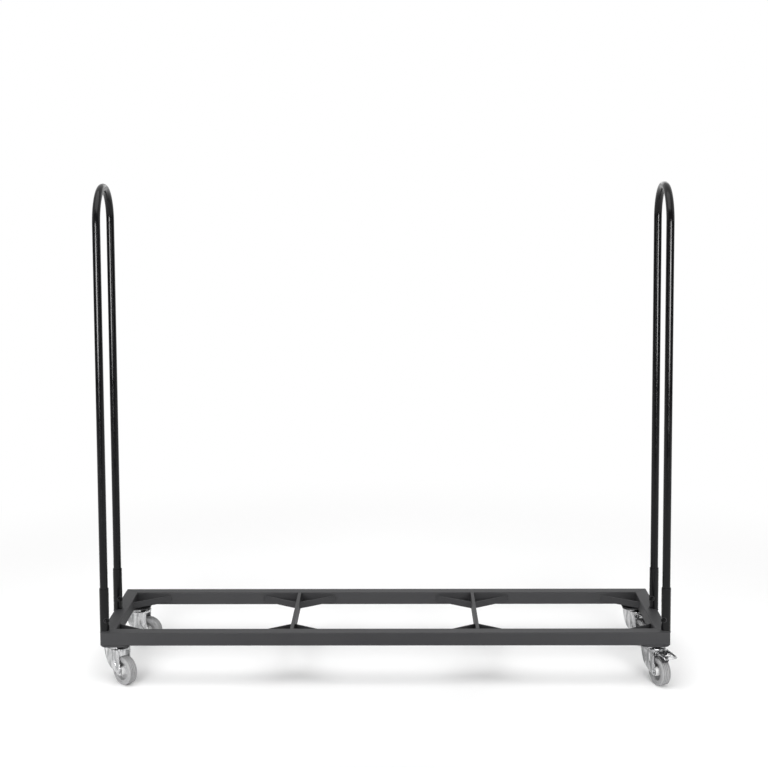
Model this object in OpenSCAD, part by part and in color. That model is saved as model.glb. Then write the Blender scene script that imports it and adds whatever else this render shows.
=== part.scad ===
// Stacking chair trolley: a low base frame on four swivel castors, with a hoop handle at each end.
// Millimetres. The origin is on the floor under the middle of the frame.
// +X runs along the trolley to the right, +Y to the rear and +Z up.

/* [Base frame] */
// Length of the frame over the side rails
frame_len = 1700; // [1200:10:2000]
// Depth of the frame over the front and rear rails
frame_depth = 440; // [400:5:560]
// Height of the rail tube
rail_h = 40; // [30:1:60]
// Width of the rail tube
rail_w = 40; // [34:1:50]
// Wall of the rail tube
rail_wall = 2; // [1.5:0.5:3]
// Outer corner radius of the rail tube
rail_corner = 3; // [2.5:0.5:5]
// Distance of each cross bar from the middle of the frame
bar_x = 280; // [200:5:380]
// Thickness of the cross bars
bar_w = 10; // [5:1:20]
// Length of the gussets along the front and rear rails
gusset_run = 112; // [70:1:125]
// Length of the gussets along the cross bars and side rails
gusset_reach = 75; // [50:1:90]
// Height of the gussets' flanges
gusset_h = 20; // [12:1:24]
// Sheet thickness of the gussets
gusset_t = 3; // [2:0.5:5]
// Corner cut off each gusset
gusset_clip = 8; // [4:1:16]

/* [Castor plates] */
// Side of the castor plates
plate_side = 85; // [75:1:110]
// Thickness of the castor plates
plate_t = 5; // [4:0.5:10]
// Corner radius of the castor plates
plate_corner = 20; // [5:1:30]

/* [Hoop handles] */
// Height of the hoops above the floor
hoop_top = 1500; // [900:10:1700]
// Distance between a hoop's two legs
hoop_span = 210; // [140:5:300]
// Outer diameter of the hoop tube
hoop_d = 24; // [20:0.5:30]
// Wall of the hoop tube
hoop_wall = 2; // [1.5:0.5:3]
// Wall of the hoop sockets
socket_wall = 1.5; // [1:0.5:3]
// Height of the hoop sockets
socket_h = 130; // [80:5:180]
// How far the sockets stand out past the frame's end
socket_overhang = 4; // [0:0.5:8]
// Height of the lock screws above the rail
lock_height = 35; // [20:1:60]
// Turn of the lock screws from straight ahead towards the load
lock_turn = 35; // [0:5:60]

/* [Castors] */
// Wheel diameter
wheel_d = 84; // [75:1:100]
// Tyre width
tyre_w = 30; // [24:1:34]
// Thickness of the tyre
tyre_t = 10; // [7:0.5:12]
// Distance of the axle from the swivel axis
trail = 36; // [32:1:40]
// Gap between the wheel's top and the fork's crown
crown_room = 18.9; // [18:0.1:30]
// Gap between the tyre's side and the fork's leg
leg_room = 5; // [4:0.5:8]
// Sheet thickness of the fork
fork_t = 3; // [2:0.5:4]
// Radius of the fork's crown
crown_r = 41.5; // [36:0.5:42]
// Rest angle of the front left castor, from pointing ahead towards the right
turn_front_left = 48; // [-180:1:180]
// Rest angle of the front right castor
turn_front_right = 22; // [-180:1:180]
// Rest angle of the rear left castor
turn_rear_left = 78; // [-180:1:180]
// Rest angle of the rear right castor
turn_rear_right = 26; // [-180:1:180]

/* [Brakes] */
// Length of the pedal from its pin to its tip
pedal_len = 70; // [55:1:85]
// Width of the pedal at its tip
pedal_w = 44; // [38:1:50]
// Gap between the brake shoe and the tyre with the brake off
shoe_gap = 5; // [4:0.5:7]

/* [Hidden] */
$fn = 64;

// Clearances
run_gap = 0.1;
swivel_gap = 0.3;
bolt_gap = 0.2;
hoop_gap = 0.5;
thread_gap = 0.05;
cut_over = 1;

// King bolt, screwed up into the castor plate
king_r = 5;
king_flats = 17;
king_head = 6.4;
king_recess = 0.5;

// Axle bolt
axle_r = 4;
axle_flats = 13;
axle_head = 5.3;
axle_nut_h = 6.5;
axle_end = 2;

// Lock screw and its nut
lock_r = 4;
lock_flats = 13;
lock_nut_h = 6.5;
lock_end = 2;
lock_key_flats = 4;
lock_key_depth = 4;

// Castor levels from the floor up
wheel_r = wheel_d / 2;
ball_r = 3;
ball_ring_r = 16;
ball_count = 14;
head_roof = 4.8;
crown_low = wheel_d + crown_room;
crown_z = crown_low + fork_t;
roof_z = crown_z + swivel_gap + 2 * ball_r;
castor_h = roof_z + head_roof;

// Levels and corners of the frame
rail_z = castor_h + plate_t;
rail_top = rail_z + rail_h;
inner_x = frame_len / 2 - rail_w;
inner_y = frame_depth / 2 - rail_w;
castor_inset = plate_side / 2;
gusset_z = rail_z + (rail_h - gusset_h) / 2;

// Hoops and sockets
socket_in = hoop_d / 2 + hoop_gap;
socket_r = socket_in + socket_wall;
hoop_x = frame_len / 2 + socket_overhang - socket_r;
hoop_front_y = -(frame_depth - rail_w) / 2;
hoop_rear_y = hoop_front_y + hoop_span;
hoop_bend_r = hoop_span / 2;
hoop_bend_z = hoop_top - hoop_d / 2 - hoop_bend_r;
lock_z = rail_top + lock_height;

// Swivel head: bearing cup, hollow king pin and the flange that holds the fork
head_r = 26;
head_skirt = 2.5;
head_gap = 0.6;
pin_in = king_r + bolt_gap;
pin_out = pin_in + 3;
pin_flange_r = 15;
pin_flange_t = 4.2;
flange_top = crown_low - swivel_gap;
flange_low = flange_top - pin_flange_t;

// Fork: the trail points along -Y and the axle along X
leg_in = tyre_w / 2 + leg_room;
leg_out = leg_in + fork_t;
crown_shift = 0.5;
leg_back = -crown_chord(leg_out);
leg_front = crown_chord(leg_out) + crown_shift;
lip_h = 9;
boss_r = 10;
boss_from = 245;
boss_to = 15;
knee_z = crown_z - 14;
knee_1 = [4, -10];
knee_2 = [12, -31];
knee_3 = [24, -44];
shin_h = 30;

// Wheel
rim_r = wheel_r - tyre_t;
rim_wall = 5;
rim_half = tyre_w / 2 - 1.5;
sleeve_in = axle_r + run_gap;
sleeve_out = sleeve_in + 2;
hub_bore = sleeve_out + run_gap;
hub_r = 14;
hub_half = leg_in - 1;
web_t = 5;
tyre_round = 5;
groove_w = 1.2;
groove_depth = 0.7;
groove_x = 4.5;

// Brake, in the plane across the axle: distance along the trail, then height
axle_at = [trail, wheel_r];
brake_pin_r = 3;
brake_head_r = 5;
brake_head_t = 2;
brake_eye_r = 5.5;
brake_at = [leg_front - brake_eye_r, crown_z - lip_h - 3.5];
pedal_t = 2.5;
pedal_rise = 7;
pedal_flat = 32;
pedal_side_gap = 2;
pedal_flare = 5;
pedal_cut = 3;
pedal_window = [26, 20];
pedal_band = 14;
pedal_rim_t = 2.5;
pedal_rim_h = 4;
pedal_rim_from = 22;
neck_half = leg_in - pedal_side_gap;
cheek_t = 2.5;
cheek_drop = 4.5;
cheek_len = 30;
shoe_t = 3.5;
shoe_w = 18;
shoe_from = 48;
shoe_to = 72;
shoe_steps = 6;
shoe_neck = 3.5;
spring_t = 0.8;
spring_w = 12;
spring_back = pin_flange_r + 2;
spring_foot = 8;

castor_names = ["front_left", "front_right", "rear_left", "rear_right"];
castor_sides = [-1, 1, -1, 1];
castor_ends = [-1, -1, 1, 1];
castor_turns = [turn_front_left, turn_front_right, turn_rear_left, turn_rear_right];
braked = [1, 3];

single_nodes = [
    "front_rail", "rear_rail", "left_side_rail", "right_side_rail", "left_cross_bar", "right_cross_bar",
    "front_corner_gussets", "rear_corner_gussets", "front_bar_gussets", "rear_bar_gussets",
    "lock_nuts", "lock_screws", "left_hoop", "right_hoop", "king_bolts", "swivel_balls"
];
corner_kinds = [
    "castor_plate", "hoop_socket", "swivel_head", "fork", "axle_bolt", "axle_nut", "axle_sleeve",
    "wheel_core", "tyre"
];
brake_kinds = ["brake_pedal", "brake_pin", "brake_spring"];

black_coat = "#2b2b2d";
zinc = "#c9ccd0";
grey_rubber = "#8d8f92";
grey_plastic = "#c4c6c8";

function crown_chord(x) = sqrt(crown_r * crown_r - x * x);
function around(centre, r, a) = centre + r * [cos(a), sin(a)];
function is_braked(i) = len([for (b = braked) if (b == i) b]) > 0;
function socket_y(i) = castor_ends[i] < 0 ? hoop_front_y : hoop_rear_y;

// Rounded rectangle around the origin
module round_rect(w, h, r) {
    square([w - 2 * r, h], center = true);
    square([w, h - 2 * r], center = true);
    for (x = [-1, 1], y = [-1, 1])
        translate([x * (w / 2 - r), y * (h / 2 - r)])
            circle(r);
}

module ring(outer, inner) {
    difference() {
        circle(outer);
        circle(inner);
    }
}

// Hexagon nut or bolt head standing on the XY plane
module hex_block(flats, h) {
    linear_extrude(h)
        circle(flats / sqrt(3), $fn = 6);
}

// Hexagon nut with its bore
module hex_nut(flats, h, bore_r) {
    difference() {
        hex_block(flats, h);
        translate([0, 0, -cut_over])
            cylinder(r = bore_r, h = h + 2 * cut_over);
    }
}

// Mirrors in X and Y by signs
module mirrored(x_sign, y_sign) {
    mirror([x_sign < 0 ? 1 : 0, 0, 0])
        mirror([0, y_sign < 0 ? 1 : 0, 0])
            children();
}

// Rail tube along X with mitred ends; outward, -1 or 1 along Y, is the side of its longer face
module mitred_rail(length, outward) {
    intersection() {
        rotate([90, 0, 90])
            linear_extrude(length, center = true)
                difference() {
                    round_rect(rail_w, rail_h, rail_corner);
                    round_rect(rail_w - 2 * rail_wall, rail_h - 2 * rail_wall, rail_corner - rail_wall / 2);
                }
        linear_extrude(2 * rail_h, center = true)
            polygon([
                [-length / 2, outward * rail_w / 2],
                [length / 2, outward * rail_w / 2],
                [length / 2 - rail_w, -outward * rail_w / 2],
                [-length / 2 + rail_w, -outward * rail_w / 2]
            ]);
    }
}

module long_rail(end) {
    color(black_coat)
        translate([0, end * (frame_depth - rail_w) / 2, rail_z + rail_h / 2])
            mitred_rail(frame_len, end);
}

module side_rail(side) {
    color(black_coat)
        translate([side * (frame_len - rail_w) / 2, 0, rail_z + rail_h / 2])
            rotate([0, 0, -90])
                mitred_rail(frame_depth, side);
}

module cross_bar(side) {
    color(black_coat)
        translate([side * bar_x - bar_w / 2, -inner_y, rail_z])
            cube([bar_w, 2 * inner_y, rail_h]);
}

// Folded gusset in the corner of two members: a triangular floor and a flange along its long edge
module gusset() {
    edge = norm([gusset_run, gusset_reach]);
    flange_run = gusset_t * edge / gusset_reach;
    flange_reach = gusset_t * edge / gusset_run;
    linear_extrude(gusset_t)
        polygon([[gusset_clip, 0], [gusset_run, 0], [0, gusset_reach], [0, gusset_clip]]);
    linear_extrude(gusset_h)
        polygon([
            [gusset_run - flange_run, 0],
            [gusset_run, 0],
            [0, gusset_reach],
            [0, gusset_reach - flange_reach]
        ]);
}

// Gussets in the two corners of the frame at the front (-1) or the rear (1)
module corner_gussets(end) {
    color(black_coat)
        for (side = [-1, 1])
            translate([side * inner_x, end * inner_y, gusset_z])
                mirrored(-side, -end)
                    gusset();
}

// Gussets on both faces of both cross bars, at the front (-1) or the rear (1)
module bar_gussets(end) {
    color(black_coat)
        for (bar = [-1, 1], face = [-1, 1])
            translate([bar * bar_x + face * bar_w / 2, end * inner_y, gusset_z])
                mirrored(face, -end)
                    gusset();
}

module castor_plate(i) {
    color(black_coat)
        at_castor(i)
            translate([0, 0, castor_h])
                linear_extrude(plate_t)
                    difference() {
                        round_rect(plate_side, plate_side, plate_corner);
                        circle(king_r + thread_gap);
                    }
}

// Hoop handle across the depth at one end of the frame
module hoop(side) {
    color(black_coat)
        translate([side * hoop_x, 0, 0]) {
            for (y = [hoop_front_y, hoop_rear_y])
                translate([0, y, rail_top])
                    linear_extrude(hoop_bend_z - rail_top)
                        ring(hoop_d / 2, hoop_d / 2 - hoop_wall);
            translate([0, hoop_front_y + hoop_bend_r, hoop_bend_z])
                rotate([90, 0, 90])
                    rotate_extrude(angle = 180)
                        translate([hoop_bend_r, 0])
                            ring(hoop_d / 2, hoop_d / 2 - hoop_wall);
        }
}

// Puts its children on a socket's axis at lock height, with X along the lock screw
module at_lock(i) {
    translate([castor_sides[i] * hoop_x, socket_y(i), lock_z])
        rotate([0, 0, -90 - castor_sides[i] * lock_turn])
            children();
}

// Round bar or hole along X from one distance to another
module bar_along_x(r, from, to) {
    translate([from, 0, 0])
        rotate([0, 90, 0])
            cylinder(r = r, h = to - from);
}

module hoop_socket(i) {
    color(black_coat)
        difference() {
            translate([castor_sides[i] * hoop_x, socket_y(i), rail_top])
                linear_extrude(socket_h)
                    ring(socket_r, socket_in);
            at_lock(i)
                bar_along_x(lock_r + bolt_gap, 0, 2 * socket_r);
        }
}

// Nuts welded to the sockets, hollowed to sit on their round walls
module lock_nuts() {
    color(black_coat)
        for (i = [0:3])
            at_lock(i)
                difference() {
                    translate([socket_in, 0, 0])
                        rotate([0, 90, 0])
                            hex_block(lock_flats, socket_wall + lock_nut_h);
                    cylinder(r = socket_r, h = 2 * lock_flats, center = true);
                    bar_along_x(lock_r + bolt_gap, 0, 2 * socket_r);
                }
}

module lock_screws() {
    tip = hoop_d / 2 + swivel_gap;
    end = socket_r + lock_nut_h + lock_end;
    color(zinc)
        for (i = [0:3])
            at_lock(i)
                difference() {
                    bar_along_x(lock_r, tip, end);
                    translate([end - lock_key_depth, 0, 0])
                        rotate([0, 90, 0])
                            hex_block(lock_key_flats, lock_key_depth + cut_over);
                }
}

// Puts its children at a corner of the frame, on the swivel axis
module at_castor(i) {
    x = castor_sides[i] * (frame_len / 2 - castor_inset);
    y = castor_ends[i] * (frame_depth / 2 - castor_inset);
    translate([x, y, 0])
        children();
}

// The same, turned to the castor's rest angle
module turned(i) {
    at_castor(i)
        rotate([0, 0, castor_turns[i]])
            children();
}

// Extrudes a shape drawn in the plane across the axle, from one place along the axle to another
module across_axle(from, to) {
    translate([to, 0, 0])
        rotate([90, 0, -90])
            linear_extrude(to - from)
                children();
}

// Puts its children on the axle, with Z along it
module on_axle() {
    translate([0, -trail, wheel_r])
        rotate([0, 90, 0])
            children();
}

module king_bolts() {
    low = flange_low - king_head;
    top = rail_z - king_recess;
    color(zinc)
        for (i = [0:3])
            at_castor(i)
                translate([0, 0, low]) {
                    hex_block(king_flats, king_head);
                    cylinder(r = king_r, h = top - low);
                }
}

module swivel_head(i) {
    skirt_low = crown_z + head_gap;
    color(zinc)
        at_castor(i)
            rotate_extrude() {
                translate([pin_in, roof_z])
                    square([head_r - pin_in, head_roof]);
                translate([head_r - head_skirt, skirt_low])
                    square([head_skirt, castor_h - skirt_low]);
                translate([pin_in, flange_low])
                    square([pin_out - pin_in, castor_h - flange_low]);
                translate([pin_in, flange_low])
                    square([pin_flange_r - pin_in, pin_flange_t]);
            }
}

module swivel_balls() {
    color(zinc)
        for (i = [0:3])
            at_castor(i)
                for (k = [0:ball_count - 1])
                    rotate([0, 0, k * 360 / ball_count])
                        translate([ball_ring_r, 0, roof_z - ball_r])
                            sphere(ball_r);
}

// Plan of the fork's crown: a disc and its copy nearer the wheel, cut to the fork's width
module crown_plan(r) {
    intersection() {
        union() {
            circle(r);
            translate([0, -crown_shift])
                circle(r);
        }
        square([2 * leg_out, 4 * crown_r], center = true);
    }
}

// Outline of a fork leg, swept back from the crown to the axle
module leg_outline() {
    knee = [leg_back, knee_z];
    polygon([
        [leg_back, crown_z],
        knee,
        knee + knee_1,
        knee + knee_2,
        knee + knee_3,
        around(axle_at, boss_r, boss_from),
        axle_at,
        around(axle_at, boss_r, boss_to),
        [leg_front, wheel_r + shin_h],
        [leg_front, crown_z]
    ]);
    translate(axle_at)
        circle(boss_r);
}

module fork(i) {
    color(zinc)
        turned(i)
            difference() {
                union() {
                    translate([0, 0, crown_low])
                        linear_extrude(fork_t)
                            crown_plan(crown_r);
                    translate([0, 0, crown_z - lip_h])
                        linear_extrude(lip_h)
                            difference() {
                                crown_plan(crown_r);
                                crown_plan(crown_r - fork_t);
                            }
                    for (x = [-leg_out, leg_in])
                        across_axle(x, x + fork_t)
                            leg_outline();
                }
                translate([0, 0, crown_low - cut_over])
                    cylinder(r = pin_out + swivel_gap, h = fork_t + 2 * cut_over);
                on_axle()
                    cylinder(r = axle_r + run_gap, h = 4 * leg_out, center = true);
                if (is_braked(i))
                    brake_pin_bar(brake_pin_r + run_gap, -2 * leg_out, 2 * leg_out);
            }
}

module axle_bolt(i) {
    color(zinc)
        turned(i)
            on_axle()
                translate([0, 0, -leg_out - axle_head]) {
                    hex_block(axle_flats, axle_head);
                    cylinder(r = axle_r, h = axle_head + 2 * leg_out + axle_nut_h + axle_end);
                }
}

module axle_nut(i) {
    color(zinc)
        turned(i)
            on_axle()
                translate([0, 0, leg_out])
                    hex_nut(axle_flats, axle_nut_h, axle_r + run_gap);
}

module axle_sleeve(i) {
    color(zinc)
        turned(i)
            on_axle()
                linear_extrude(2 * leg_in, center = true)
                    ring(sleeve_out, sleeve_in);
}

module wheel_core(i) {
    color(grey_plastic)
        turned(i)
            on_axle()
                difference() {
                    union() {
                        cylinder(r = hub_r, h = 2 * hub_half, center = true);
                        cylinder(r = rim_r - cut_over, h = web_t, center = true);
                        linear_extrude(2 * rim_half, center = true)
                            ring(rim_r, rim_r - rim_wall);
                    }
                    cylinder(r = hub_bore, h = 4 * leg_out, center = true);
                }
}

// Section of the tyre: radius along X, width along Y
module tyre_section() {
    difference() {
        union() {
            translate([rim_r, -tyre_w / 2])
                square([tyre_t - tyre_round, tyre_w]);
            translate([rim_r, -tyre_w / 2 + tyre_round])
                square([tyre_t, tyre_w - 2 * tyre_round]);
            for (side = [-1, 1])
                translate([wheel_r - tyre_round, side * (tyre_w / 2 - tyre_round)])
                    circle(tyre_round);
        }
        for (side = [-1, 1])
            translate([wheel_r - groove_depth, side * groove_x - groove_w / 2])
                square([2 * groove_depth, groove_w]);
    }
}

module tyre(i) {
    color(grey_rubber)
        turned(i)
            on_axle()
                rotate_extrude()
                    tyre_section();
}

// Round bar along the brake pin
module brake_pin_bar(r, from, to) {
    across_axle(from, to)
        translate(brake_at)
            circle(r);
}

// Side view of the pedal's plate, with its eye on the pin
module pedal_plate() {
    half = [0, pedal_t / 2];
    bend = brake_at + [pedal_flat, 0];
    tip = brake_at + [pedal_len, pedal_rise];
    polygon([brake_at + half, bend + half, tip + half, tip - half, bend - half, brake_at - half]);
    translate(brake_at)
        circle(brake_eye_r);
}

// Side view of the rims that stand up along the plate's sides
module pedal_rim() {
    foot = [0, -pedal_t / 2];
    rise = [0, pedal_t / 2 + pedal_rim_h];
    bend = brake_at + [pedal_flat, 0];
    tip = brake_at + [pedal_len, pedal_rise];
    stop = tip - [pedal_rim_h, 0];
    start = brake_at + [pedal_rim_from, 0];
    polygon([
        start + foot, bend + foot, tip + foot, tip, stop + rise, bend + rise, start + [pedal_rim_h, 0] + rise
    ]);
}

// Side view of the cheeks that stiffen the plate
module pedal_cheek() {
    polygon([
        brake_at,
        brake_at + [cheek_len, 0],
        brake_at + [cheek_len - cheek_drop, -cheek_drop],
        brake_at - [0, brake_eye_r]
    ]);
    translate(brake_at)
        circle(brake_eye_r);
}

// Side view of the shoe: a band around the wheel and the neck that hangs it from the plate
module pedal_shoe() {
    inner = wheel_r + shoe_gap;
    angles = [for (k = [0:shoe_steps]) shoe_from + (shoe_to - shoe_from) * k / shoe_steps];
    turns = len(angles) - 1;
    neck = around(axle_at, inner + shoe_t / 2, (shoe_from + shoe_to) / 2);
    polygon(concat(
        [for (a = angles) around(axle_at, inner, a)],
        [for (k = [0:turns]) around(axle_at, inner + shoe_t, angles[turns - k])]
    ));
    translate([neck[0] - shoe_neck, neck[1]])
        square([2 * shoe_neck, brake_at[1] - neck[1]]);
}

// Plan of the pedal: a neck between the fork legs and a wider tread
module pedal_plan() {
    half = pedal_w / 2;
    root = brake_at[0] - brake_eye_r;
    flare = brake_at[0] + pedal_flat;
    tip = brake_at[0] + pedal_len;
    for (side = [-1, 1])
        polygon([
            [0, -root],
            [side * neck_half, -root],
            [side * neck_half, -flare],
            [side * half, -flare - pedal_flare],
            [side * half, -tip + pedal_cut],
            [side * (half - pedal_cut), -tip],
            [0, -tip]
        ]);
}

// Plan of the rims, from beside the neck to the tread's corners
module rim_plan() {
    wide = pedal_w / 2;
    from = brake_at[0] + pedal_rim_from;
    flare = brake_at[0] + pedal_flat;
    to = brake_at[0] + pedal_len - pedal_cut;
    for (side = [-1, 1])
        polygon([
            [side * neck_half, -from],
            [side * neck_half, -flare],
            [side * wide, -flare - pedal_flare],
            [side * wide, -to],
            [side * (wide - pedal_rim_t), -to],
            [side * (wide - pedal_rim_t), -flare - pedal_flare],
            [side * (neck_half - pedal_rim_t), -flare],
            [side * (neck_half - pedal_rim_t), -from]
        ]);
}

module brake_pedal(i) {
    window_at = brake_at[0] + pedal_len - pedal_band - pedal_window[1] / 2;
    color(zinc)
        turned(i)
            difference() {
                union() {
                    intersection() {
                        across_axle(-pedal_w, pedal_w)
                            pedal_plate();
                        linear_extrude(castor_h)
                            difference() {
                                pedal_plan();
                                translate([0, -window_at])
                                    square(pedal_window, center = true);
                            }
                    }
                    intersection() {
                        across_axle(-pedal_w, pedal_w)
                            pedal_rim();
                        linear_extrude(castor_h)
                            rim_plan();
                    }
                    across_axle(-shoe_w / 2, shoe_w / 2)
                        pedal_shoe();
                    for (x = [-neck_half, neck_half - cheek_t])
                        across_axle(x, x + cheek_t)
                            pedal_cheek();
                }
                brake_pin_bar(brake_pin_r + run_gap, -2 * leg_out, 2 * leg_out);
            }
}

// Pin with a rivet head outside each fork leg
module brake_pin(i) {
    color(zinc)
        turned(i) {
            brake_pin_bar(brake_pin_r, -leg_out - brake_head_t, leg_out + brake_head_t);
            for (x = [-leg_out - brake_head_t, leg_out])
                brake_pin_bar(brake_head_r, x, x + brake_head_t);
        }
}

// Leaf spring under the crown that bears on the pedal's eye
module brake_spring(i) {
    leaf = [0, spring_t];
    foot = [spring_back, crown_low];
    heel = foot + [spring_foot, 0];
    end = brake_at + [0, brake_eye_r + swivel_gap];
    color(zinc)
        turned(i)
            across_axle(-spring_w / 2, spring_w / 2)
                polygon([foot, heel, end + leaf, end, heel - leaf, foot - leaf]);
}

long_rail(-1);  // front_rail
long_rail(1);  // rear_rail
side_rail(-1);  // left_side_rail
side_rail(1);  // right_side_rail
cross_bar(-1);  // left_cross_bar
cross_bar(1);  // right_cross_bar
corner_gussets(-1);  // front_corner_gussets
corner_gussets(1);  // rear_corner_gussets
bar_gussets(-1);  // front_bar_gussets
bar_gussets(1);  // rear_bar_gussets
lock_nuts();
lock_screws();
hoop(-1);  // left_hoop
hoop(1);  // right_hoop
king_bolts();
swivel_balls();
for (i = [0:3]) {
    name = castor_names[i];
    castor_plate(i);
    hoop_socket(i);
    swivel_head(i);
    fork(i);
    axle_bolt(i);
    axle_nut(i);
    axle_sleeve(i);
    wheel_core(i);
    tyre(i);
}
for (i = braked) {
    name = castor_names[i];
    brake_pedal(i);
    brake_pin(i);
    brake_spring(i);
}
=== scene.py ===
import math

import bmesh
import bpy
from mathutils import Matrix, Vector


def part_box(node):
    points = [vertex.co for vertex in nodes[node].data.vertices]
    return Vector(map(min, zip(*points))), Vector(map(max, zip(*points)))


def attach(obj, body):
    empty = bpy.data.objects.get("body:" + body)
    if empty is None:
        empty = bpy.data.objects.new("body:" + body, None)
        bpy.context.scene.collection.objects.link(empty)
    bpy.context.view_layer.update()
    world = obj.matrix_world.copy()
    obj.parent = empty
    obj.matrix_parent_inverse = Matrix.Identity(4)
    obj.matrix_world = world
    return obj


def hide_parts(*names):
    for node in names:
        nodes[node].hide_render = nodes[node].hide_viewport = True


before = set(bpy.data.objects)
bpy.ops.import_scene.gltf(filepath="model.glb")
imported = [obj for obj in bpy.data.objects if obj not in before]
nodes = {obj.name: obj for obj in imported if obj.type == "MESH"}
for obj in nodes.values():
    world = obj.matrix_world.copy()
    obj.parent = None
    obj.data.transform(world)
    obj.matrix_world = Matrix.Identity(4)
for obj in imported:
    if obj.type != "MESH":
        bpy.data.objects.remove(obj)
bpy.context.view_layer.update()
scene = bpy.context.scene
mm = 0.001
castor = {"trail": 36.0, "axleHigh": 42.0}   # axle from the swivel axis and from the floor, mm
corners = {                               # swivel axis in mm and how far each castor is turned at rest
    "front_left": {"x": -807.5, "y": -177.5, "turn": 48},
    "front_right": {"x": 807.5, "y": -177.5, "turn": 22},
    "rear_left": {"x": -807.5, "y": 177.5, "turn": 78},
    "rear_right": {"x": 807.5, "y": 177.5, "turn": 26},
}


def hexColour(code):                      # sRGB hex to the linear values that a shader takes
    parts = [int(code[i:i + 2], 16) / 255 for i in (1, 3, 5)]
    return tuple(c / 12.92 if c <= 0.04045 else ((c + 0.055) / 1.055) ** 2.4 for c in parts) + (1.0,)


def addNode(tree, kind, settings=None, links=None):   # one node, its settings and what feeds it
    node = tree.nodes.new("ShaderNode" + kind)
    for key, value in (settings or {}).items():
        if isinstance(key, int) or key in node.inputs:
            node.inputs[key].default_value = value
        else:
            setattr(node, key, value)
    for key, source in (links or {}).items():
        tree.links.new(source, node.inputs[key])
    return node


def newMaterial(name):
    material = bpy.data.materials.new(name)
    material.use_nodes = True
    material.node_tree.nodes.clear()
    return material, material.node_tree


def noise(tree, place, sizeMm, detail, roughness=0.5, distortion=0.0):   # cloudy pattern, its size in real mm
    settings = {"Scale": 1 / (sizeMm * mm), "Detail": detail, "Roughness": roughness, "Distortion": distortion}
    return addNode(tree, "TexNoise", settings, {"Vector": place}).outputs["Fac"]


def remap(tree, value, source, target=(0.0, 1.0), curve="LINEAR"):   # one range to another, held at both ends
    settings = {"interpolation_type": curve, "From Min": source[0], "From Max": source[1],
                "To Min": target[0], "To Max": target[1]}
    return addNode(tree, "MapRange", settings, {"Value": value}).outputs[0]


def mixColour(tree, share, low, high):    # two colours, each a hex code or the output of a node
    ends = {6: low, 7: high}
    codes = {key: hexColour(end) for key, end in ends.items() if isinstance(end, str)}
    feeds = {key: end for key, end in ends.items() if not isinstance(end, str)}
    return addNode(tree, "Mix", {"data_type": "RGBA", **codes}, {0: share, **feeds}).outputs[2]


def multiply(tree, a, b):
    return addNode(tree, "Math", {"operation": "MULTIPLY"}, {0: a, 1: b}).outputs[0]


edgeMaskLook = {"samples": 6, "turned": (0.995, 0.86)}


def wearAndHighlightEdge(tree, radiusMm, look=edgeMaskLook):   # a normal rounded over the edges, and 1 where it leaves the face
    normal = addNode(tree, "NewGeometry").outputs["Normal"]
    rounded = addNode(tree, "Bevel", {"samples": look["samples"], "Radius": radiusMm * mm}).outputs["Normal"]
    turned = addNode(tree, "VectorMath", {"operation": "DOT_PRODUCT"}, {0: rounded, 1: normal}).outputs["Value"]
    return rounded, remap(tree, turned, look["turned"])


def axleRadius(tree, place):              # distance from a wheel's axle, which runs along X
    flat = addNode(tree, "Mapping", {"Scale": (0.0, 1.0, 1.0)}, {"Vector": place}).outputs[0]
    return addNode(tree, "VectorMath", {"operation": "LENGTH"}, {0: flat}).outputs["Value"]


def fineRelief(tree, place, relief, rounded=None):    # relief is grain and depth in mm, strength and detail
    grainMm, depthMm, strength, detail = relief
    feeds = {"Height": noise(tree, place, grainMm, detail)}
    if rounded is not None:
        feeds["Normal"] = rounded
    return addNode(tree, "Bump", {"Strength": strength, "Distance": depthMm * mm}, feeds).outputs[0]


def surface(tree, shine, colour, rough, normal):
    shader = addNode(tree, "BsdfPrincipled", shine, {"Base Color": colour, "Roughness": rough, "Normal": normal})
    addNode(tree, "OutputMaterial", None, {"Surface": shader.outputs[0]})


powderCoat = {
    "colour": "#2f2f31", "cloud": "#363637", "edge": "#525254", "roughness": (0.53, 0.67), "edgeMm": 1.3,
    "clouds": (120, 5.0), "grit": (9, 6.0, 0.7), "relief": (1.4, 0.05, 0.35, 2.0),
    "shine": {"IOR": 1.5, "Specular IOR Level": 0.25},
}


def satinPowderCoat(look):                # baked polyester powder: fine orange peel; paler along the edges, partly for the thinner coat there and partly as a painted highlight
    material, tree = newMaterial("satin_black_powder_coat")
    place = addNode(tree, "TexCoord").outputs["Object"]
    rounded, edge = wearAndHighlightEdge(tree, look["edgeMm"])
    cloud = noise(tree, place, *look["clouds"])
    grit = noise(tree, place, *look["grit"])
    film = mixColour(tree, cloud, look["colour"], look["cloud"])
    # paler edges: the thinner coat there, and a painted highlight along them
    colour = mixColour(tree, multiply(tree, edge, grit), film, look["edge"])
    rough = remap(tree, grit, (0.0, 1.0), look["roughness"])
    surface(tree, look["shine"], colour, rough, fineRelief(tree, place, look["relief"], rounded))
    return material


glossCoat = {
    "colour": "#060607", "dust": "#0e0e0f", "roughness": (0.12, 0.26), "specks": (60, 8.0, 0.65),
    "dustSpan": (0.3, 0.7), "relief": (6.0, 0.006, 0.25, 1.0), "shine": {"IOR": 1.5, "Specular IOR Level": 0.22},
}


def glossBlackTube(look):                 # gloss enamel on drawn tube: deep black, long soft highlights, a little dust
    material, tree = newMaterial("gloss_black_enamel")
    place = addNode(tree, "TexCoord").outputs["Object"]
    dust = noise(tree, place, *look["specks"])
    colour = mixColour(tree, dust, look["colour"], look["dust"])
    rough = remap(tree, dust, look["dustSpan"], look["roughness"])
    surface(tree, look["shine"], colour, rough, fineRelief(tree, place, look["relief"]))
    return material


zincCoat = {
    "colour": "#d8d8d9", "cloud": "#9c9d9e", "edge": "#e2e2e2", "roughness": (0.18, 0.34), "clouds": (9, 4.0),
    "cloudSpan": (0.35, 0.65), "drawn": (1.0, 1.0, 0.22), "edgeMm": 0.8, "relief": (0.6, 0.02, 0.2, 3.0),
    "shine": {"Metallic": 1.0},
}


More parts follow.
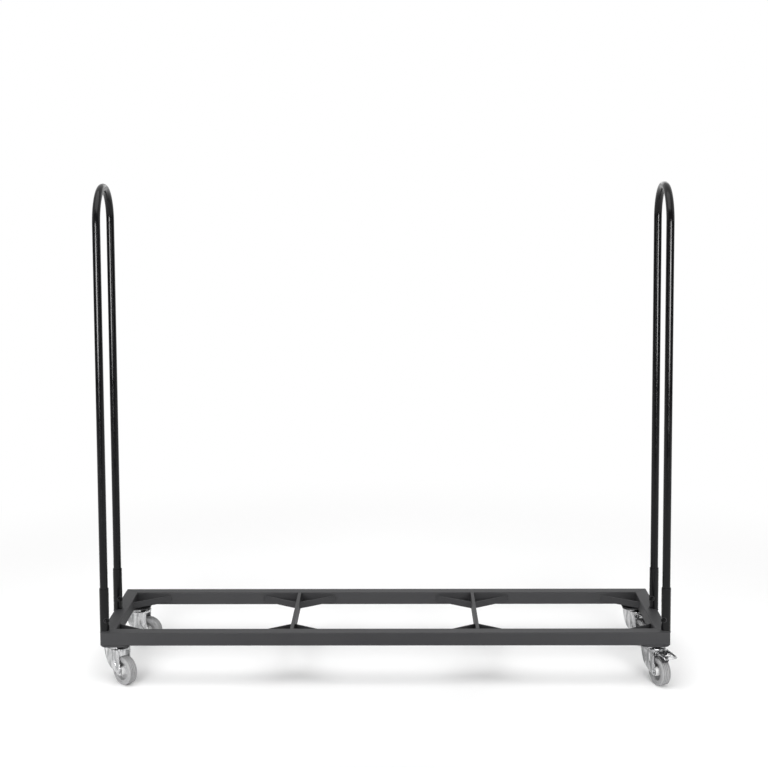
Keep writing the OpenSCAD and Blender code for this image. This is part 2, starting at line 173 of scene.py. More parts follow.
def brightZinc(look):                     # bright zinc on drawn steel: silver, upright drawing streaks darkened as painted reflection of shade, edges brightened as a painted highlight
    material, tree = newMaterial("bright_zinc_plate")
    place = addNode(tree, "TexCoord").outputs["Object"]
    rounded, edge = wearAndHighlightEdge(tree, look["edgeMm"])
    drawn = addNode(tree, "Mapping", {"Scale": look["drawn"]}, {"Vector": place}).outputs[0]
    # upright streaks of random tone, made dark enough to stand as painted reflection of shade
    cloud = remap(tree, noise(tree, drawn, *look["clouds"]), look["cloudSpan"])
    plate = mixColour(tree, cloud, look["colour"], look["cloud"])
    # brighter edges: a painted highlight
    colour = mixColour(tree, edge, plate, look["edge"])
    rough = remap(tree, cloud, (0.0, 1.0), look["roughness"])
    surface(tree, look["shine"], colour, rough, fineRelief(tree, place, look["relief"], rounded))
    return material


rubber = {
    "colour": "#919192", "scuff": "#a6a6a6", "grooveTone": "#5d5c5b", "roughness": (0.54, 0.74), "scuffs": (7, 7.0, 0.7),
    "scuffSpan": (0.45, 0.75), "scuffSquash": (2.5, 1.0, 1.0), "treadHalfMm": 11.5, "grooveMm": (40.9, 41.7),
    "relief": (0.5, 0.04, 0.3, 3.0), "shine": {"IOR": 1.5},
}


def greyRubber(look):                     # moulded soft rubber: matt grey, chalky scuffs, darker in the bottoms of the grooves
    material, tree = newMaterial("grey_tread_rubber")
    place = addNode(tree, "TexCoord").outputs["Object"]
    spread = addNode(tree, "Mapping", {"Scale": look["scuffSquash"]}, {"Vector": place}).outputs[0]
    scuff = noise(tree, spread, *look["scuffs"])
    low, high = look["grooveMm"]
    deep = remap(tree, axleRadius(tree, place), (high * mm, low * mm))
    across = addNode(tree, "SeparateXYZ", None, {"Vector": place}).outputs["X"]
    across = addNode(tree, "Math", {"operation": "ABSOLUTE"}, {0: across}).outputs[0]
    inside = addNode(tree, "Math", {"operation": "LESS_THAN", 1: look["treadHalfMm"] * mm}, {0: across}).outputs[0]
    body = mixColour(tree, remap(tree, scuff, look["scuffSpan"]), look["colour"], look["scuff"])
    # darker in the bottoms of the grooves, across the tread only
    colour = mixColour(tree, multiply(tree, deep, inside), body, look["grooveTone"])
    rough = remap(tree, scuff, (0.0, 1.0), look["roughness"])
    surface(tree, look["shine"], colour, rough, fineRelief(tree, place, look["relief"]))
    return material


nylon = {
    "colour": "#9b9b9c", "flow": "#8e8e8f", "boss": "#cbcbcb", "bossMm": (14.6, 15.1), "roughness": (0.36, 0.52),
    "flowMarks": (11, 4.0, 0.5, 1.5), "relief": (0.4, 0.02, 0.2, 2.0), "shine": {"IOR": 1.53},
}


def greyNylon(look):                      # moulded nylon: faint flow marks; the web painted darker as the shade in the recess between boss and tyre, the bearing boss nearly white
    material, tree = newMaterial("grey_moulded_nylon")
    place = addNode(tree, "TexCoord").outputs["Object"]
    flow = noise(tree, place, *look["flowMarks"])
    web = mixColour(tree, flow, look["colour"], look["flow"])
    outside = remap(tree, axleRadius(tree, place), [r * mm for r in look["bossMm"]])
    # web darker than the boss: painted shade in the recess
    colour = mixColour(tree, outside, look["boss"], web)
    rough = remap(tree, flow, (0.0, 1.0), look["roughness"])
    surface(tree, look["shine"], colour, rough, fineRelief(tree, place, look["relief"]))
    return material


slotMaterial = {
    "black_powder_coat": satinPowderCoat(powderCoat), "gloss_black_tube": glossBlackTube(glossCoat),
    "zinc_plate": brightZinc(zincCoat), "grey_rubber": greyRubber(rubber), "grey_plastic": greyNylon(nylon),
}
print("materials:", ", ".join(m.name for m in slotMaterial.values()))

plainParts = {                            # edge break of each finish and the gap that is closed before it, mm
    "edges": {"black_powder_coat": 0.6, "gloss_black_tube": 0.5, "zinc_plate": 0.5}, "join": 0.002, "angle": 50,
}


def addBevel(piece, name, wide, angle):   # breaks the edges that turn by more than the angle
    bevel = piece.modifiers.new(name, "BEVEL")
    bevel.width, bevel.segments = wide * mm, 2
    bevel.limit_method, bevel.angle_limit = "ANGLE", math.radians(angle)
    return bevel


for node in nodes.values():               # each CAD node takes the finish of its slot
    slotName = node.data.materials[0].name
    node.data.materials.clear()
    node.data.materials.append(slotMaterial[slotName])
    if slotName in plainParts["edges"]:
        node.modifiers.new("joined", "WELD").merge_threshold = plainParts["join"] * mm
        addBevel(node, "edgeBreak", plainParts["edges"][slotName], plainParts["angle"]).harden_normals = True
    if slotName == "gloss_black_tube":    # the edge break must not bend the long highlights
        node.modifiers.new("evenNormals", "WEIGHTED_NORMAL").keep_sharp = True
print("nodes dressed")


def newPiece(name, points, faces, body, slotName, place, sharp, flipTo=None, ownOrigin=False):
    still = Matrix.Identity(4)
    bake, stand = (still, place) if ownOrigin else (place, still)   # a wheel's pattern is measured from its axle
    mesh = bpy.data.meshes.new(name)
    mesh.from_pydata([bake @ (Vector(p) * mm) for p in points], [], faces)
    work = bmesh.new()
    work.from_mesh(mesh)
    bmesh.ops.recalc_face_normals(work, faces=work.faces)
    work.normal_update()
    if flipTo is not None:                # an open sheet: its first face shows which way is out
        work.faces.ensure_lookup_table()
        if work.faces[0].normal.dot(Vector(flipTo)) < 0:
            bmesh.ops.reverse_faces(work, faces=work.faces)
    for face in work.faces:
        face.smooth = True
    for edge in work.edges:
        if len(edge.link_faces) == 2 and edge.calc_face_angle() > math.radians(sharp):
            edge.smooth = False
    work.to_mesh(mesh)
    work.free()
    mesh.materials.append(slotMaterial[slotName])
    piece = bpy.data.objects.new(name, mesh)
    scene.collection.objects.link(piece)
    piece.matrix_world = stand
    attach(piece, body)
    return piece


def drawSheet(piece, thick):              # a smooth skin, thickened inwards
    smooth = piece.modifiers.new("drawn", "SUBSURF")
    smooth.levels = smooth.render_levels = 2
    sheet = piece.modifiers.new("sheet", "SOLIDIFY")
    sheet.thickness, sheet.offset = thick * mm, -1


def castorPlace(corner):                  # the castor's own frame: trail along -Y, axle along X
    spot = corners[corner]
    turn = Matrix.Rotation(math.radians(spot["turn"]), 4, "Z")
    return Matrix.Translation((spot["x"] * mm, spot["y"] * mm, 0)) @ turn


def wheelPlace(corner):
    return castorPlace(corner) @ Matrix.Translation((0, -castor["trail"] * mm, castor["axleHigh"] * mm))


def band(first, second, count):           # quads between two closed rings, which start at these points
    return [(first + k, first + (k + 1) % count, second + (k + 1) % count, second + k) for k in range(count)]


def lathe(profile, steps):                # a closed (along, radius) section turned about X
    points, faces, n = [], [], len(profile)
    for s in range(steps):
        a = 2 * math.pi * s / steps
        points += [(along, r * math.cos(a), r * math.sin(a)) for along, r in profile]
        faces += band(s * n, (s + 1) % steps * n, n)
    return points, faces


def arc(centre, r, start, end, steps):    # points of a rounded corner
    turns = [math.radians(start + (end - start) * k / steps) for k in range(steps + 1)]
    return [(centre[0] + r * math.cos(a), centre[1] + r * math.sin(a)) for a in turns]


def ease(value, start, end):              # 0 before start, 1 after end, smooth between
    t = max(0.0, min(1.0, (value - start) / (end - start)))
    return t * t * (3 - 2 * t)


fork = {
    "top": 105.9, "half": 23.0, "crown": 42.4, "hole": 8.5, "seat": 12.0, "bend": 4.5, "bendFrom": 5.5, "lip": 9.0,
    "brim": 5.0, "brimFrom": (23.0, 32.0), "arch": 1.0,                  # raised before and behind the bearing
    "sheet": 3.0, "rim": (0.7, 55),
    "rounds": (0.75, 0.5, 0.25, 0.0, -0.25, -0.5, -0.75),                # points along the crown's round ends
    "columns": (-36, -34, -28, -18, -5, 7, 12.4, 13.8, 18, 26, 35),
    "swell": (-4.0, -1.2, 0.8, 1.4, 1.5, 1.5, 1.5, -1.3, -1.3, -1.3, -1.3),   # rolled back, proud flank, band set in
    "rows": (                                                            # back and front end, sag, share of the swell
        ((-36, 90), (35, 90), 0, 0.8), ((-34, 82), (35, 79), 0, 1.0), ((-29.5, 70), (36, 70), 0, 1.0),
        ((-22.5, 57), (39, 61), 0, 0.9), ((-11, 48), (43.4, 52), 0, 0.4), ((9, 41), (46.8, 43), 0, 0.0),
        ((24, 36), (46, 36), 0.6, 0.0), ((28.5, 32.6), (42.5, 32.6), 1.6, 0.0)),
}


def pressedFork(corner, look):            # one sheet: round crown, turned lip, creased legs swept to the axle
    half, top, brim, columns = look["half"], look["top"], look["brim"], look["columns"]
    middle, width = (columns[0] + columns[-1]) / 2, columns[-1] - columns[0]
    halfCount = len(columns) + len(look["rounds"])
    count = 2 * halfCount
    points, faces = [], []
    rings = (                             # inset, height, hole, lift of the brim
        (look["seat"], top, look["hole"], 0.0), (look["seat"], top, None, 0.0), (look["bendFrom"], top, None, brim),
        (0, top, None, brim), (0, top - look["bend"], None, brim), (0, top - look["lip"], None, brim + look["arch"]),
    )
    for inset, z, hole, lift in rings:    # right side, front round, left side, back round
        big, flat = look["crown"] - inset, half - inset
        turn = math.asin(flat / big)
        squeeze = 2 * big * math.cos(turn) / width
        sides = [middle + (d - middle) * squeeze for d in columns]
        front = [(big * math.sin(share * turn), big * math.cos(share * turn)) for share in look["rounds"]]
        ring = [(flat, d) for d in sides] + front + [(-flat, d) for d in reversed(sides)] + [(-x, -d) for x, d in front]
        for x, d in ring:
            scale = hole / math.hypot(x, d) if hole else 1
            points.append((x * scale, -d * scale, z + lift * ease(abs(d), *look["brimFrom"])))
    last = len(rings) - 1
    for r in range(last):
        faces += band(r * count, (r + 1) * count, count)
    for side, first in ((1, 0), (-1, halfCount)):
        above = [last * count + first + k for k in range(len(columns))]
        if side < 0:
            above.reverse()
        for (d0, z0), (d1, z1), sag, share in look["rows"]:
            row = []
            for d, swell in zip(columns, look["swell"]):
                u = (d - columns[0]) / width
                x = half + share * swell
                points.append((side * x, -(d0 + u * (d1 - d0)), z0 + u * (z1 - z0) - sag * 4 * u * (1 - u)))
                row.append(len(points) - 1)
            faces += [(above[k], above[k + 1], row[k + 1], row[k]) for k in range(len(columns) - 1)]
            above = row
    piece = newPiece("pressedFork_" + corner, points, faces, "castor_" + corner, "zinc_plate",
                     castorPlace(corner), sharp=180, flipTo=(0, 0, 1))
    drawSheet(piece, look["sheet"])
    addBevel(piece, "rim", *look["rim"])
    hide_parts("fork_" + corner)


for corner in corners:
    pressedFork(corner, fork)
print("forks pressed")

tyre = {
    "radius": 42.0, "rim": 32.0, "half": 15.0, "shoulder": 5.0, "shoulderArc": (176, 92, 8), "steps": 144,
    "wall": ((1.0, 0.0), (1.0, 0.6), (0.0, 1.2), (0.0, 2.6), (0.5, 3.2), (0.5, 4.0), (0.1, 4.6)),   # in, over the rim
    "grooves": (-8.4, -2.8, 2.8, 8.4), "bank": ((1.25, 0.0), (0.95, 0.15), (0.475, 1.2)),   # from its middle, deep
}


def moldedTyre(corner, look):             # round shoulders, fine rolled grooves, a raised ring on each wall
    half, big, bend = look["half"], look["radius"], look["shoulder"]
    left = [(inward - half, look["rim"] + up) for inward, up in look["wall"]]
    left += arc((bend - half, big - bend), bend, *look["shoulderArc"])
    tread = []
    for place in look["grooves"]:
        tread += [(place - x, big - deep) for x, deep in look["bank"]]
        tread += [(place + x, big - deep) for x, deep in reversed(look["bank"])]
    points, faces = lathe(left + tread + [(-a, r) for a, r in reversed(left)], look["steps"])
    piece = newPiece("moldedTyre_" + corner, points, faces, "wheel_" + corner, "grey_rubber",
                     wheelPlace(corner), sharp=50, ownOrigin=True)
    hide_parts("tyre_" + corner)


for corner in corners:
    moldedTyre(corner, tyre)
print("tyres moulded")

core = {
    "bore": 6.2, "chamfer": 0.8, "half": 19.0, "nose": 12.4, "boss": 14.0, "web": 2.5, "fillet": 3.0, "rimIn": 27.0,
    "rimOut": 32.0, "rimHalf": 13.5, "rimDraft": 1.2, "filletSteps": 6, "steps": 96,
    "noseRound": ((0.0, 1.0), (0.3, 0.3), (1.0, 0.0)), "rimRound": ((0.8, 0.0), (0.2, 0.2), (0.0, 0.8)),
}


def moldedCore(corner, look):             # drafted boss and rim on a thin web, fillets at their roots
    half, bend, rimHalf, rimIn = look["half"], look["fillet"], look["rimHalf"], look["rimIn"]
    root = -look["web"] - bend
    left = [(look["chamfer"] - half, look["bore"]), (-half, look["bore"] + look["chamfer"])]
    left += [(inward - half, look["nose"] - down) for inward, down in look["noseRound"]]
    left += arc((root, look["boss"] + bend), bend, -90, 0, look["filletSteps"])
    left += arc((root, rimIn - look["rimDraft"] - bend), bend, 0, 90, look["filletSteps"])
    left += [(inward - rimHalf, rimIn + up) for inward, up in look["rimRound"]] + [(-rimHalf, look["rimOut"])]
    points, faces = lathe(left + [(-a, r) for a, r in reversed(left)], look["steps"])
    piece = newPiece("moldedCore_" + corner, points, faces, "wheel_" + corner, "grey_plastic",
                     wheelPlace(corner), sharp=40, ownOrigin=True)
    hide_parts("wheel_core_" + corner)


for corner in corners:
    moldedCore(corner, core)
print("wheel cores moulded")

boltHead = {
    "flats": 13.0, "high": 5.3, "nutHigh": 6.5, "thread": 4.0, "end": 2.0, "leg": 23.0, "headBore": 0.3, "nutBore": 4.1,
    "turnedTo": 0.96, "cone": 28, "sides": 72, "axis": 0.2, "inHead": 0.5, "tipLong": 1.2, "pitch": 1.25, "steps": 40,
    "ridge": ((0.3, 0.0), (0.7, 0.45), (1.1, 0.0)), "tip": ((0.5, 0.2), (1.0, 0.9)),   # along, below the thread
}


def hexBlock(look, start, end, bore):     # hexagon along X, its corners turned down to a cone at the end
    points, faces, steps = [], [], look["sides"]
    flat = look["flats"] / 2
    turned = flat * look["turnedTo"]
    side = 1 if end > start else -1
    for s in range(steps):
        a = 2 * math.pi * s / steps
        r = flat / math.cos((a + math.pi / 6) % (math.pi / 3) - math.pi / 6)
        drop = (r - turned) * math.tan(math.radians(look["cone"]))
        ring = [(start, bore), (start, r), (end - side * drop, r), (end, turned), (end, bore)]
        points += [(along, q * math.cos(a), q * math.sin(a)) for along, q in ring]
        faces += band(s * len(ring), (s + 1) % steps * len(ring), len(ring))
    return points, faces


def axleHardware(corner, look):           # chamfered head and nut, thread end with turned ridges
    body, leg, thread = "castor_" + corner, look["leg"], look["thread"]
    points, faces = hexBlock(look, -leg, -leg - look["high"], look["headBore"])
    shank = [(-leg - look["inHead"], look["axis"]), (-leg - look["inHead"], thread), (leg, thread)]
    at = leg
    while at < leg + look["nutHigh"] + look["end"] - look["tipLong"]:   # rolled thread
        shank += [(at + along, thread - down) for along, down in look["ridge"]]
        at += look["pitch"]
    shank += [(at + along, thread - down) for along, down in look["tip"]]
    shank.append((at + look["tip"][-1][0], look["axis"]))
    shankPoints, shankFaces = lathe(shank, look["steps"])
    faces += [tuple(i + len(points) for i in face) for face in shankFaces]
    bolt = newPiece("axleBolt_" + corner, points + shankPoints, faces, body, "zinc_plate",
                    wheelPlace(corner), sharp=30)
    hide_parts("axle_bolt_" + corner)
    points, faces = hexBlock(look, leg, leg + look["nutHigh"], look["nutBore"])
    nut = newPiece("axleNut_" + corner, points, faces, body, "zinc_plate", wheelPlace(corner), sharp=30)
    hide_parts("axle_nut_" + corner)


for corner in corners:
    axleHardware(corner, boltHead)
print("axle bolts and nuts turned")

pedal = {
    "pin": (29.54, 93.4), "plateHalf": 1.25, "neck": 18.0, "wide": 21.3, "sheet": 2.2, "edge": 0.5,
    "flare": (43.0, 46.0), "step": (42.8, 47.0), "rise": 9.4, "fall": 0.11, "tipFrom": 94.8, "tipRound": 0.5,
    "rim": 4.2, "rimFrom": (43.2, 46.8), "rimTo": (91.0, 98.0), "rimDrop": 0.85, "rimFoot": ((0.4, 0.4), (2.2, 0.0)),
    "crown": 42.4, "hug": ((42.0, 45.0), (52.0, 78.0)),                  # where the back edge follows the round crown
    "windowHalf": 12.0, "windowRows": (34, 78), "windowColumns": (3, 6),
    "ridge": 0.9, "ridgeHalf": 6.0, "ridgeRows": (84, 90),
    "rows": (34, 38, 42, 43.2, 44.4, 45.6, 46.8, 48.5, 52, 57, 64, 71, 78, 79.5, 81.5, 84, 86.5, 90, 93.2, 95, 96.6,
             97.7, 98),
    "eye": (3.2, 4.6), "eyeHalf": 18.0, "eyeSteps": 40, "cheek": (15.5, 18.0), "shoeSteps": 10,
    "cheekPath": ((33.0, 94.4), (43.0, 94.0), (46.6, 101.2), (50.0, 102.0), (47.5, 91.5), (42.0, 88.6), (31.5, 88.4)),
    "shoe": (47.0, 50.5, 48, 72, 9.0),                                   # inner and outer radius, arc, half width
    "stem": ((63.5, 82.0), (68.5, 79.0), (84.0, 98.4), (78.5, 99.0)),
}


def stampedPedal(corner, look):           # bent sheet stepped up past the crown: side rims, a window, two grip ridges
    plateTop = look["pin"][1] + look["plateHalf"]
    points, faces = [], []
    for d in look["rows"]:
        rise = look["rise"] * ease(d, *look["step"]) - look["fall"] * max(0.0, d - look["step"][1])
        up = ease(d, *look["rimFrom"]) * (1 - look["rimDrop"] * ease(d, *look["rimTo"]))
        wide = look["neck"] + (look["wide"] - look["neck"]) * ease(d, *look["flare"])
        wide -= look["sheet"] * up + look["tipRound"] * max(0.0, d - look["tipFrom"]) ** 2
        rim = look["rim"] * up
        ridge = look["ridge"] if d in look["ridgeRows"] else 0
        half = [(wide, rim)] + [(wide - inward, rim * share) for inward, share in look["rimFoot"]]
        half += [(look["windowHalf"], 0), (look["ridgeHalf"], ridge)]
        row = [(-x, h) for x, h in half] + [(0, ridge)] + half[::-1]
        hug = ease(d, *look["hug"][0]) * (1 - ease(d, *look["hug"][1]))
        for x, h in row:
            back = hug * (look["crown"] - math.sqrt(look["crown"] ** 2 - x * x))
            points.append((x, back - d, plateTop + rise + h))
    n = len(row)
    firstRow, lastRow = look["windowRows"]
    firstColumn, lastColumn = look["windowColumns"]
    for r, (d0, d1) in enumerate(zip(look["rows"], look["rows"][1:])):
        for c in range(n - 1):
            if not (firstRow <= d0 and d1 <= lastRow and firstColumn <= c <= lastColumn):
                faces.append((r * n + c, r * n + c + 1, (r + 1) * n + c + 1, (r + 1) * n + c))
    piece = newPiece("stampedPedal_" + corner, points, faces, "pedal_" + corner, "zinc_plate",
                     castorPlace(corner), sharp=180, flipTo=(0, 0, 1))
    drawSheet(piece, look["sheet"])
    addBevel(piece, "edge", look["edge"], 55)
    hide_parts("brake_pedal_" + corner)


def brakeShoe(corner, look):              # eye tube on the pin, two cheeks under the plate, curved shoe over the tyre
    pinD, pinZ = look["pin"]
    small, big = look["eye"]
    end = look["eyeHalf"]
    tube, faces = lathe([(-end, small), (-end, big), (end, big), (end, small)], look["eyeSteps"])
    points = [(x, y - pinD, z + pinZ) for x, y, z in tube]

    def addPrism(outline, x0, x1):        # an outline of (trail, height) pulled across the castor
        first, n = len(points), len(outline)
        points.extend((x, -d, z) for x in (x0, x1) for d, z in outline)
        faces.extend(band(first, first + n, n))
        faces.extend([tuple(range(first, first + n)), tuple(range(first + n, first + 2 * n))])

    for side in (-1, 1):
        addPrism(look["cheekPath"], side * look["cheek"][0], side * look["cheek"][1])
    near, far, start, stop, half = look["shoe"]
    hub = castor["trail"], castor["axleHigh"]
    steps = look["shoeSteps"]
    addPrism(arc(hub, near, start, stop, steps) + arc(hub, far, stop, start, steps), -half, half)
    addPrism(look["stem"], -half, half)
    piece = newPiece("brakeShoe_" + corner, points, faces, "pedal_" + corner, "black_powder_coat",
                     castorPlace(corner), sharp=30)
    addBevel(piece, "edge", look["edge"], 40)


for corner in ("front_right", "rear_right"):
    stampedPedal(corner, pedal)
    brakeShoe(corner, pedal)
print("brake pedals stamped")

weldBead = {"spacing": 0.8, "pitch": 2.1, "ripple": 0.13, "sides": 8, "sway": (0.07, 0.61, 0.013), "endRound": 1.2,
            "endSmall": 0.02}
beadPoints, beadFaces = [], []


def addBead(path, r, look=weldBead, closed=False):   # overlapping ripples of weld metal along a line, in mm
    path = [Vector(p) for p in path]
    if closed:
        path.append(path[0])
    spans = [(b - a).length for a, b in zip(path, path[1:])]
    length = sum(spans)
    count = max(4, int(length / look["spacing"]))
    first, sides = len(beadPoints), look["sides"]
    sway, swayRate, swayShift = look["sway"]
    for k in range(count + 1):
        s, i = length * k / count, 0
        run = s
        while i < len(spans) - 1 and run > spans[i]:
            run -= spans[i]
            i += 1
        along = (path[i + 1] - path[i]).normalized()
        centre = path[i] + along * min(run, spans[i])
        aside = Vector((0.31, 0.17, 0.93)) if abs(along.z) < 0.8 else Vector((1, 0.2, 0))   # any way but along
        across = along.cross(aside).normalized()
        over = along.cross(across)
        wave = (s / look["pitch"]) % 1.0
        size = r * (1 + look["ripple"] * (wave - 0.5) + sway * math.sin(s * swayRate + first * swayShift))
        if not closed:                    # the bead starts and stops in a small round
            size *= math.sqrt(max(look["endSmall"], min(1.0, min(s, length - s) / (look["endRound"] * r))))
        for q in range(sides):
            a = 2 * math.pi * q / sides
            beadPoints.append(centre + across * (size * math.cos(a)) + over * (size * math.sin(a)))
    for k in range(count):
        beadFaces.extend(band(first + k * sides, first + (k + 1) * sides, sides))
    if not closed:
        beadFaces.append(tuple(first + q for q in range(sides)))
        beadFaces.append(tuple(first + count * sides + q for q in range(sides)))


railMin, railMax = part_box("front_rail")
endX, frontY, railLow, railTop = railMax[0] / mm, -railMin[1] / mm, railMin[2] / mm, railMax[2] / mm
railWide = 40.0
innerX, innerY = endX - railWide, frontY - railWide
barX, barHalf, barBead = 280.0, 5.0, 2.0
axisX, axisY = corners["rear_right"]["x"], corners["rear_right"]["y"]
outA, outB, inA, inB = -21.5, 21.5, -38.5, -1.5           # ends of the castor plates' welds from the swivel axis
gusset = {
    "run": 112.0, "reach": 75.0, "low": 132.0, "sheet": 3.0, "high": 20.0, "bead": 1.6, "out": 0.3, "short": 0.5,
    "runStitches": ((16, 40), (74, 98)), "reachStitches": ((16, 34), (46, 64)),
}
socket = {
    "x": 840.0, "y": (-200.0, 10.0), "r": 14.0, "bead": 2.1, "weldOut": 0.6, "weldUp": 0.3, "weldArc": (56, 304, 60),
    "lockHigh": 35.0, "lockTurn": 35.0, "lockWeld": 7.4, "lockBead": 1.0, "lockSteps": 36,
    "wash": ((0.6, 2.6, 10.0, 3.1), (0.2, 6.8, 8.0, 2.5), (0.0, 10.2, 6.0, 1.8)),   # overhang: out, drop, reach, radius
}
quarterSeams = (                          # start, end and radius of each bead in one quarter of the frame
    ((innerX, innerY, railLow + 1), (innerX, innerY, railTop - 1), 2.4),                     # inside of the corner
    ((innerX + 2, innerY + 2, railTop - 1.1), (endX - 3, frontY - 3, railTop - 1.1), 1.6),   # mitre
    ((endX - 2.2, frontY - 2.2, railLow + 3), (endX - 2.2, frontY - 2.2, railTop - 3), 1.7),   # outside of the corner
    ((axisX + outA, frontY - 2.4, railLow + 0.7), (axisX + outB, frontY - 2.4, railLow + 0.7), 1.9),   # castor plate
    ((endX - 2.4, axisY + outA, railLow + 0.7), (endX - 2.4, axisY + outB, railLow + 0.7), 1.9),
    ((axisX + inA, innerY, railLow + 0.4), (axisX + inB, innerY, railLow + 0.4), 2.4),
    ((innerX, axisY + inA, railLow + 0.4), (innerX, axisY + inB, railLow + 0.4), 2.4),
)

for sx in (-1, 1):
    for sy in (-1, 1):
        for start, end, r in quarterSeams:
            addBead([(sx * x, sy * y, z) for x, y, z in (start, end)], r)
        for face in (-1, 1):              # both faces of a cross bar's end
            x = sx * barX + face * barHalf
            addBead([(x, sy * innerY, railLow + 1), (x, sy * innerY, railTop - 1)], barBead)
    for y in socket["y"]:                 # round the sockets, where the rail is under them
        ring = arc((0, 0), socket["r"] + socket["weldOut"], *socket["weldArc"])
        addBead([(sx * (socket["x"] + px), y + py, railTop + socket["weldUp"]) for px, py in ring], socket["bead"])
        for out, drop, reach, r in socket["wash"]:
            x = sx * (endX + out)
            addBead([(x, y - reach, railTop - drop), (x, y + reach, railTop - drop)], r)

pockets = [(sx * innerX, -sx, sy) for sx in (-1, 1) for sy in (-1, 1)]
pockets += [(bar * barX + face * barHalf, face, sy) for bar in (-1, 1) for face in (-1, 1) for sy in (-1, 1)]
floorTop = gusset["low"] + gusset["sheet"]
low, high = gusset["low"] + gusset["short"], gusset["low"] + gusset["high"] - gusset["short"]
for x, dx, sy in pockets:                 # stitches along each folded gusset and up its two ends
    y = sy * innerY
    for a, b in gusset["runStitches"]:
        addBead([(x + dx * a, y, floorTop), (x + dx * b, y, floorTop)], gusset["bead"])
    for a, b in gusset["reachStitches"]:
        addBead([(x, y - sy * a, floorTop), (x, y - sy * b, floorTop)], gusset["bead"])
    runX, reachY = x + dx * (gusset["run"] + gusset["out"]), y - sy * (gusset["reach"] + gusset["out"])
    addBead([(runX, y, low), (runX, y, high)], gusset["bead"])
    addBead([(x, reachY, low), (x, reachY, high)], gusset["bead"])

for sx in (-1, 1):                        # round the lock nuts
    for y in socket["y"]:
        aim = math.radians(-90 - sx * socket["lockTurn"])
        ring = []
        for k in range(socket["lockSteps"]):
            a = 2 * math.pi * k / socket["lockSteps"]
            across, up = socket["lockWeld"] * math.cos(a), socket["lockWeld"] * math.sin(a)
            out = math.sqrt(socket["r"] ** 2 - across ** 2)
            ring.append((sx * socket["x"] + out * math.cos(aim) - across * math.sin(aim),
                         y + out * math.sin(aim) + across * math.cos(aim), railTop + socket["lockHigh"] + up))
        addBead(ring, socket["lockBead"], closed=True)
newPiece("weldBeads", beadPoints, beadFaces, "frame", "black_powder_coat", Matrix.Identity(4), sharp=60)
print("welds laid:", len(beadFaces), "faces")

studio = {"floor": "#fbfbfb", "floorRadius": 12.0, "floorSteps": 96, "fade": (1.0, 2.6), "worldLight": 0.55}


def directlySeen(tree):                   # 1 for what is seen straight, in a reflection or through glass
    path = addNode(tree, "LightPath").outputs
    eye = path["Is Camera Ray"]
    for kind in ("Is Glossy Ray", "Is Transmission Ray"):
        eye = addNode(tree, "Math", {"operation": "MAXIMUM"}, {0: eye, 1: path[kind]}).outputs[0]
    return eye


def paleFloor(look):                      # matt white paper: keeps the shadow near the part, runs out to plain white
    material, tree = newMaterial("white_paper_floor")
    place = addNode(tree, "TexCoord").outputs["Object"]
    far = addNode(tree, "VectorMath", {"operation": "LENGTH"}, {0: place}).outputs["Value"]
    fade = multiply(tree, remap(tree, far, look["fade"], curve="SMOOTHSTEP"), directlySeen(tree))
    paper = addNode(tree, "BsdfDiffuse", {"Color": hexColour(look["floor"])})
    white = addNode(tree, "Emission", {"Strength": 1.0})
    both = addNode(tree, "MixShader", None, {0: fade, 1: paper.outputs[0], 2: white.outputs[0]})
    addNode(tree, "OutputMaterial", None, {"Surface": both.outputs[0]})
    return material


def newCard(name, outline, material):     # one flat face of the studio
    mesh = bpy.data.meshes.new(name)
    mesh.from_pydata(outline, [], [tuple(range(len(outline)))])
    mesh.materials.append(material)
    card = bpy.data.objects.new(name, mesh)
    scene.collection.objects.link(card)
    return card


floorEdge = arc((0, 0), studio["floorRadius"], 0, 360, studio["floorSteps"])[:-1]
floor = newCard("floor", [(x, y, 0) for x, y in floorEdge], paleFloor(studio))

world = bpy.data.worlds.new("studio")
scene.world = world
world.use_nodes = True
air = world.node_tree
air.nodes.clear()
strength = remap(air, directlySeen(air), (0.0, 1.0), (studio["worldLight"], 1.0))
sky = addNode(air, "Background", {"Color": (1, 1, 1, 1)}, {"Strength": strength})
addNode(air, "OutputWorld", None, {"Surface": sky.outputs[0]})

lamps = {                                 # place, aim, size across and up in metres, watts, spread in degrees
    "leftBox": ((-1.3, -2.4, 0.965), (-1.1, 0, 0.92), (1.1, 0.69), 15, 75),
    "rightBox": ((1.3, -2.4, 0.965), (1.1, 0, 0.92), (1.1, 0.69), 15, 75),
    "topBox": ((-0.4, -1.0, 3.4), (0, 0, 0.2), (3.4, 2.6), 62, 180),
    "backBox": ((0.8, 3.2, 2.6), (0, 0, 0.6), (2.6, 1.6), 16, 180),
}
for name, (place, aim, size, power, spread) in lamps.items():
    data = bpy.data.lights.new(name, "AREA")
    data.shape, data.size, data.size_y, data.energy = "RECTANGLE", size[0], size[1], power
    data.spread = math.radians(spread)
    lamp = bpy.data.objects.new(name, data)
    scene.collection.objects.link(lamp)
    lamp.location = place
    lamp.rotation_euler = (Vector(aim) - Vector(place)).to_track_quat("-Z", "Y").to_euler()
    lamp.visible_camera = False

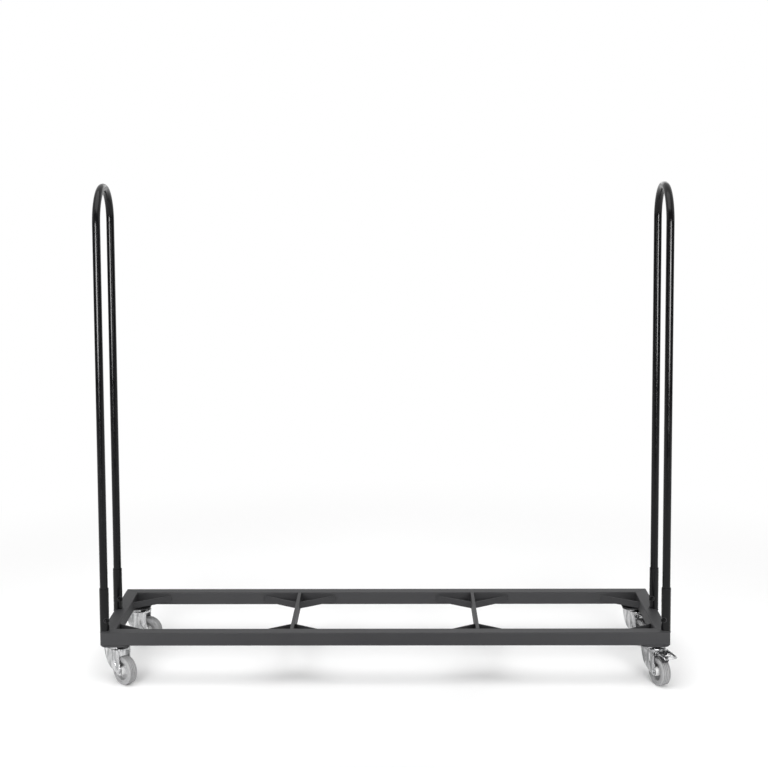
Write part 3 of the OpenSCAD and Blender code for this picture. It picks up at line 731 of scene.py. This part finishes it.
flags = {                                 # dark sheets that only reflections see, painting dark reflections; the two on the floor paint shade into the reflections near the castors and rails: grey and four corners in metres
    "frontFlag": ("#2c2c2c", ((-5, -2.6, 0), (5, -2.6, 0), (5, -2.6, 3), (-5, -2.6, 3))),
    "leftFlag": ("#2c2c2c", ((-5, -2.6, 0), (-5, 2.5, 0), (-5, 2.5, 1.3), (-5, -2.6, 1.3))),
    "rightFlag": ("#2c2c2c", ((5, -2.6, 0), (5, 2.5, 0), (5, 2.5, 1.3), (5, -2.6, 1.3))),
    "leftDarkReflection": ("#6c6c6c", ((-1.12, -0.09, 0.002), (-0.97, -0.09, 0.002), (-0.97, 0.1, 0.002), (-1.12, 0.1, 0.002))),
    "rightDarkReflection": ("#b0b0b0", ((0.45, -0.09, 0.002), (1.06, -0.09, 0.002), (1.06, 0.1, 0.002), (0.45, 0.1, 0.002))),
}
for name, (grey, outline) in flags.items():
    material, tree = newMaterial(name + "_felt")
    paintedReflection = addNode(tree, "BsdfDiffuse", {"Color": hexColour(grey)})
    addNode(tree, "OutputMaterial", None, {"Surface": paintedReflection.outputs[0]})
    card = newCard(name, outline, material)
    # seen only in reflections: painted dark reflections
    card.visible_camera = card.visible_diffuse = card.visible_shadow = card.visible_transmission = False
print("studio lit:", ", ".join(lamps))

shot = {                                  # place in metres, turns in degrees, lens and picture centre in pixels
    "place": (0.0528, -4.4881, 1.6011), "pitch": -4.813, "yaw": 0.733, "roll": -0.290, "focalPx": 1467.5,
    "centre": (382.1, 271.8), "frame": 768, "sensorMm": 36,
}
yaw, pitch, roll = (math.radians(shot[k]) for k in ("yaw", "pitch", "roll"))
side = Vector((math.cos(yaw), math.sin(yaw), 0))
ahead = Vector((-math.sin(yaw) * math.cos(pitch), math.cos(yaw) * math.cos(pitch), math.sin(pitch)))
above = side.cross(ahead)
right = math.cos(roll) * side + math.sin(roll) * above
up = math.cos(roll) * above - math.sin(roll) * side
camera = bpy.data.cameras.new("camera")
camera.sensor_width = shot["sensorMm"]
camera.lens = shot["focalPx"] * shot["sensorMm"] / shot["frame"]
camera.shift_x = (shot["frame"] / 2 - shot["centre"][0]) / shot["frame"]
camera.shift_y = (shot["centre"][1] - shot["frame"] / 2) / shot["frame"]
eyePoint = bpy.data.objects.new("camera", camera)
scene.collection.objects.link(eyePoint)
eyePoint.matrix_world = Matrix.Translation(shot["place"]) @ Matrix((right, up, -ahead)).transposed().to_4x4()
scene.camera = eyePoint
scene.view_settings.view_transform = "Standard"

print("done")
